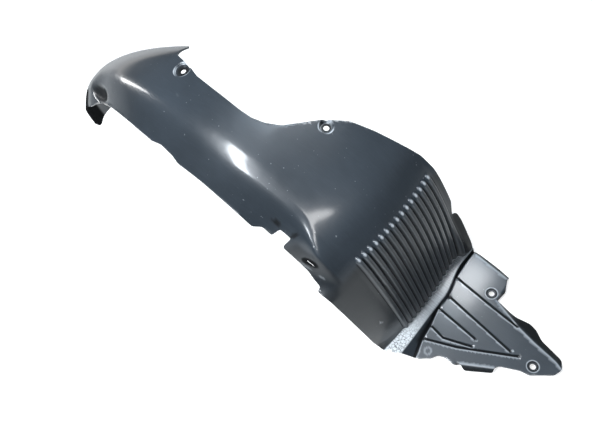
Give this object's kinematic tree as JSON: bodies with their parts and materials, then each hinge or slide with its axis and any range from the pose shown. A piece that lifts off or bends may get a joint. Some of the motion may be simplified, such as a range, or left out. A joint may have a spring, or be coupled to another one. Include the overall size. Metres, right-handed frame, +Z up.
{
  "type": "wheel arch liner",
  "caption": "Moulded front wheel arch liner: a curved shell over the tyre with a strut cut-out, a ribbed front wall, a ledge and a flat splash panel.",
  "frame": {"origin": "midway between the two fixing holes of the splash panel, on its upper face", "axes": "+X to the front of the car, +Y inboard, +Z up, as the part is fitted; the wheel axis is along Y at X -0.5025 m and Z -0.0625 m"},
  "size_m": [0.9632, 0.2379, 0.357],
  "materials": {
    "liner": "black polypropylene with a satin shine, fine scratches and a pressed grain on the ledge"
  },
  "bodies": {
    "root": {"liner": "liner"}
  },
  "joints": []
}
